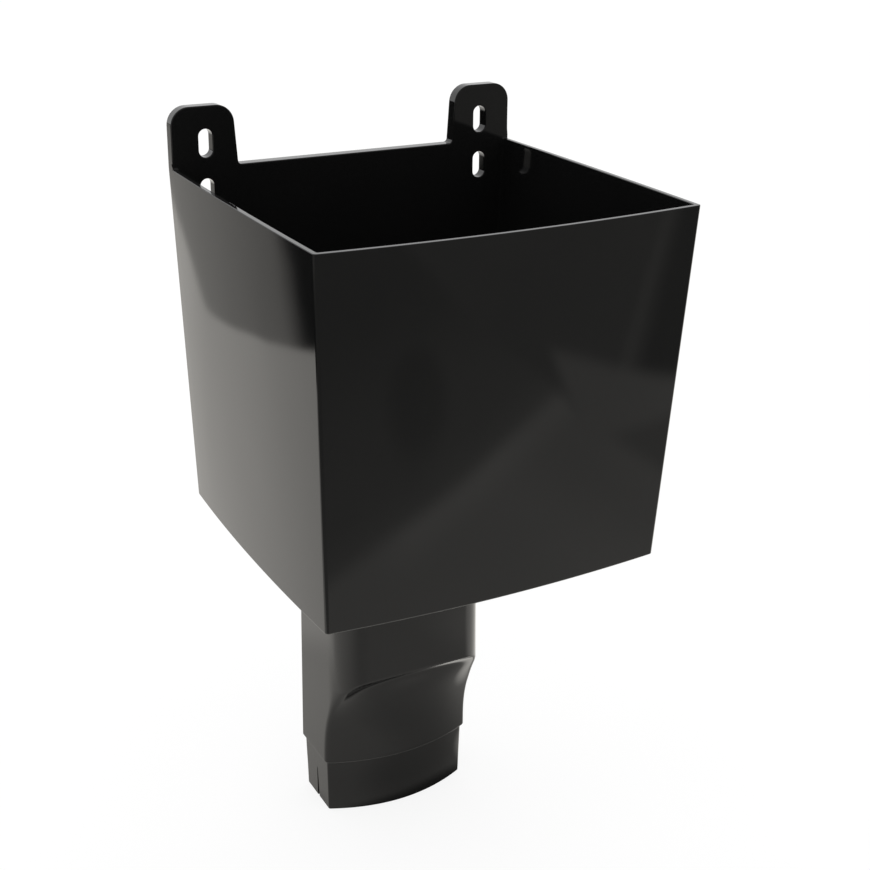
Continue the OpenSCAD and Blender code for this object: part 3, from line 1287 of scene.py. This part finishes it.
@dataclass(frozen=True)
class MirroredFloor:
    """The floor's brightness as gloss mirrors it, which the camera never sees: a painted reflection.

    It is a pale sheet under the object, brighter behind it and on its right, with a darker room ahead and on
    both sides. The areas were placed until the part mirrored light and dark as it does in the
    photograph, so this is no measured studio. Places are in metres from the middle of the box's wall face.
    """

    sheet: Area = Area(0.50, added=(
        Area(-0.08, (Edge((0.33, 0.46), (1.0, -0.2)),)),
        Area(0.09, (SHEET_FRONT.faded(-0.055, -0.014), Edge((0.02, 0.10), ALONG_X)))))
    sheet_back: Area = Area(0.85, (Edge((0.02, 0.30), (-0.6, 0.8), (0.0, -0.2)),), added=(
        Area(0.11, (Edge((-0.25, -0.13), DIAGONAL),)),
        Area(0.22, (Edge((-0.06, 0.04), DIAGONAL), Edge((0.2, 0.5), ALONG_Y)))))
    sheet_right: Area = Area(1.3, (Edge((0.09, 0.20), ALONG_X), Edge((-0.34, -0.26), ALONG_Y)))
    room_ahead: Area = Area(0.14, (SHEET_FRONT,), added=(
        Area(0.10, (SHEET_FRONT.faded(0.34, 0.02),)),
        Area(0.05, (SHEET_FRONT.faded(0.05, 0.0),)),
        Area(-0.06, (Oval((0.17, -0.72), (0.055, 0.11), (1.2, 0.2), 0.35),))))
    room_right: Area = Area(
        0.195, (Edge((0.525, 0.565), (1.0, -0.25)), Edge((-0.34, -0.42), ALONG_Y)),
        added=(
            Area(0.06, (Seam((0.0003, 0.0), RIGHT_SEAM.normal, RIGHT_SEAM.origin),)),
            Area(-0.09, (RIGHT_SEAM,))),
        laid=(Area(0.29, (Edge((-0.58, -0.54), ALONG_Y),)),))
    card_ahead: Area = Area(0.41, (
        Edge((0.203, 0.233), (1.0, 0.27)),
        Edge((0.025, -0.025), (0.74, -0.673), (0.51, -0.635)),
        Edge((-0.645, -0.685), (-0.3, 1.0))))
    room_left: Area = Area(
        0.37, (Corner(
            Edge((-0.010, 0.010), (-0.892, 0.4527), (-0.369, 0.785)),
            Edge((-0.010, 0.010), (-0.99, -0.158), (-0.353, 0.87)), 0.05),),
        added=(Area(0.36, (replace(LEFT_SIDE, fade=(0.0, 0.4), ramp=Ramp.STRAIGHT),)),),
        laid=(Area(0.0, (LEFT_SIDE,)),))
    far_left: Area = Area(0.46, (Edge((-0.75, -1.25), ALONG_X), Edge((0.60, 0.25), ALONG_Y)))
    # Painted shadows of the object on the mirrored floor: darker under it, ahead of it and at its foot.
    shade_under: Area = Area(0.26, (Oval((-0.015, 0.03), (0.13, 0.13), (1.6, 0.8)),))
    shade_ahead: Area = Area(0.38, (Oval((0.033, -0.095), (0.065, 0.040), (1.3, 0.0)),))
    shade_foot: Area = Area(0.84, (Oval((0.006, -0.048), (0.046, 0.029), (1.4, 0.75)),))
    # Painted highlight: a bright spot on the mirrored floor, which the scoop shows under its crease.
    glint: Area = Area(1.0, (Oval((0.074, -0.052), (0.022, 0.018), (1.5, 0.2)),))

    def brightness(self, tree: Tree) -> Wire:
        """Lays the areas over one another, takes off the painted shadows and adds the painted glint.

        Args:
            tree: The floor's node tree.

        Returns:
            The brightness at each place.
        """
        place = tree.node("ShaderNodeTexCoord", output="Object")
        x, y = tree.axis(place, "X"), tree.axis(place, "Y")
        value = self.sheet.value(x, y)
        for area in (self.sheet_back, self.sheet_right, self.room_ahead, self.room_right,
                     self.card_ahead, self.room_left, self.far_left):
            value = area.over(value, x, y)
        for shade in (self.shade_under, self.shade_ahead, self.shade_foot):
            value = value * (1.0 - shade.level * shade.share(x, y))
        return value + self.glint.level * self.glint.share(x, y)


@dataclass
class Studio:
    """Floor, light and camera."""

    ground: float = -0.2826
    floor_half: float = 6.0
    floor_grey: float = 0.82
    floor_glow: float = 1.12
    floor_shadow: float = 0.25
    mirror: MirroredFloor = field(default_factory=MirroredFloor)
    mirror_tint: Colour = (1.03, 1.0, 0.945)
    light: float = 0.9
    gleam_ahead: float = 0.25
    gleam_rise: float = 0.80
    gleam_fade: Point = (-0.05, 0.35)
    yaw: float = 27.924
    pitch: float = 19.651
    roll: float = 0.428
    eye: tuple[float, float, float] = (-0.3367, -0.7457, 0.2601)
    focal_px: float = 1496.0
    middle_px: Point = (435.95, 366.0)
    sensor_mm: float = 36.0
    clip: Point = (0.01, 100.0)

    def camera(self) -> None:
        """Places the camera at the photograph's angle, with its lens axis above the frame's middle."""
        data = bpy.data.cameras.new("camera")
        data.sensor_width = self.sensor_mm
        data.sensor_fit = "HORIZONTAL"
        data.lens = self.focal_px / PHOTO_PX * self.sensor_mm
        data.shift_x = (PHOTO_PX / 2 - self.middle_px[0]) / PHOTO_PX
        data.shift_y = (self.middle_px[1] - PHOTO_PX / 2) / PHOTO_PX
        data.clip_start, data.clip_end = self.clip
        yaw, pitch, roll = (math.radians(v) for v in (self.yaw, self.pitch, self.roll))
        heading = np.array([math.sin(yaw), math.cos(yaw), 0.0])
        ahead = heading * math.cos(pitch) - np.array([0.0, 0.0, math.sin(pitch)])
        level = np.array([math.cos(yaw), -math.sin(yaw), 0.0])
        above = np.cross(level, ahead)
        right = level * math.cos(roll) + above * math.sin(roll)
        up = above * math.cos(roll) - level * math.sin(roll)
        turn = np.eye(4)
        turn[:3, :3] = np.stack([right, up, -ahead], 1)
        turn[:3, 3] = self.eye
        camera = bpy.data.objects.new("camera", data)
        camera.matrix_world = Matrix(turn.tolist())
        bpy.context.scene.collection.objects.link(camera)
        bpy.context.scene.camera = camera

    def floor_white(self) -> bpy.types.Material:
        """Makes the floor's material: white with a shadow to the camera, and the mirrored floor, a painted
        reflection, to gloss.

        Returns:
            The material.
        """
        made = bpy.data.materials.new("floor_white")
        made.use_nodes = True
        tree = Tree(made.node_tree)
        grey = (self.floor_grey, self.floor_grey, self.floor_grey, 1.0)
        matt = tree.node("ShaderNodeBsdfDiffuse", {}, {"Color": grey})
        glow = tree.node("ShaderNodeEmission", {}, {"Color": WHITE, "Strength": self.floor_glow})
        white = tree.node("ShaderNodeMixShader", {}, {0: self.floor_shadow, 1: glow, 2: matt})
        # To gloss the floor glows with a painted reflection: the mirrored floor's brightness, tinted warm.
        tinted = {0: self.mirror_tint, "Scale": self.mirror.brightness(tree)}
        colour = tree.node("ShaderNodeVectorMath", {"operation": "SCALE"}, tinted)
        gleam = tree.node("ShaderNodeEmission", {}, {"Color": colour})
        straight = tree.ray(Ray.CAMERA, Ray.TRANSMISSION)
        seen = tree.node("ShaderNodeMixShader", {}, {0: straight, 1: matt, 2: white})
        shade = tree.node("ShaderNodeMixShader", {}, {0: tree.ray(Ray.GLOSSY), 1: seen, 2: gleam})
        tree.node("ShaderNodeOutputMaterial", {}, {"Surface": shade})
        return made

    def floor(self) -> None:
        """Lays the floor, one square."""
        s, z = self.floor_half, self.ground
        mesh = bpy.data.meshes.new("floor")
        mesh.from_pydata([(-s, -s, z), (s, -s, z), (s, s, z), (-s, s, z)], [], [(0, 1, 2, 3)])
        mesh.materials.append(self.floor_white())
        floor = bpy.data.objects.new("floor", mesh)
        bpy.context.scene.collection.objects.link(floor)

    def world(self) -> None:
        """Surrounds the scene with white for the camera, soft light, and a bright back wall for the gloss."""
        world = bpy.data.worlds.new("studio")
        bpy.context.scene.world = world
        world.use_nodes = True
        tree = Tree(world.node_tree)
        place = tree.node("ShaderNodeTexCoord", output="Generated")
        gleam = self.gleam_ahead + self.gleam_rise * tree.axis(place, "Y").step(*self.gleam_fade)
        level = lerp(self.light, gleam, tree.ray(Ray.GLOSSY))
        light = tree.node("ShaderNodeBackground", {}, {"Color": level})
        white = tree.node("ShaderNodeBackground", {}, {"Color": WHITE})
        straight = tree.ray(Ray.CAMERA, Ray.TRANSMISSION)
        both = tree.node("ShaderNodeMixShader", {}, {0: straight, 1: light, 2: white})
        tree.node("ShaderNodeOutputWorld", {}, {"Surface": both})

    def build(self) -> None:
        """Sets up the whole studio."""
        bpy.context.scene.view_settings.view_transform = "Standard"
        self.camera()
        self.floor()
        self.world()


def main() -> None:
    logging.basicConfig(level=logging.INFO, format="%(name)s %(message)s")
    Studio().build()
    Moulding().build()


if __name__ == "__main__":
    main()
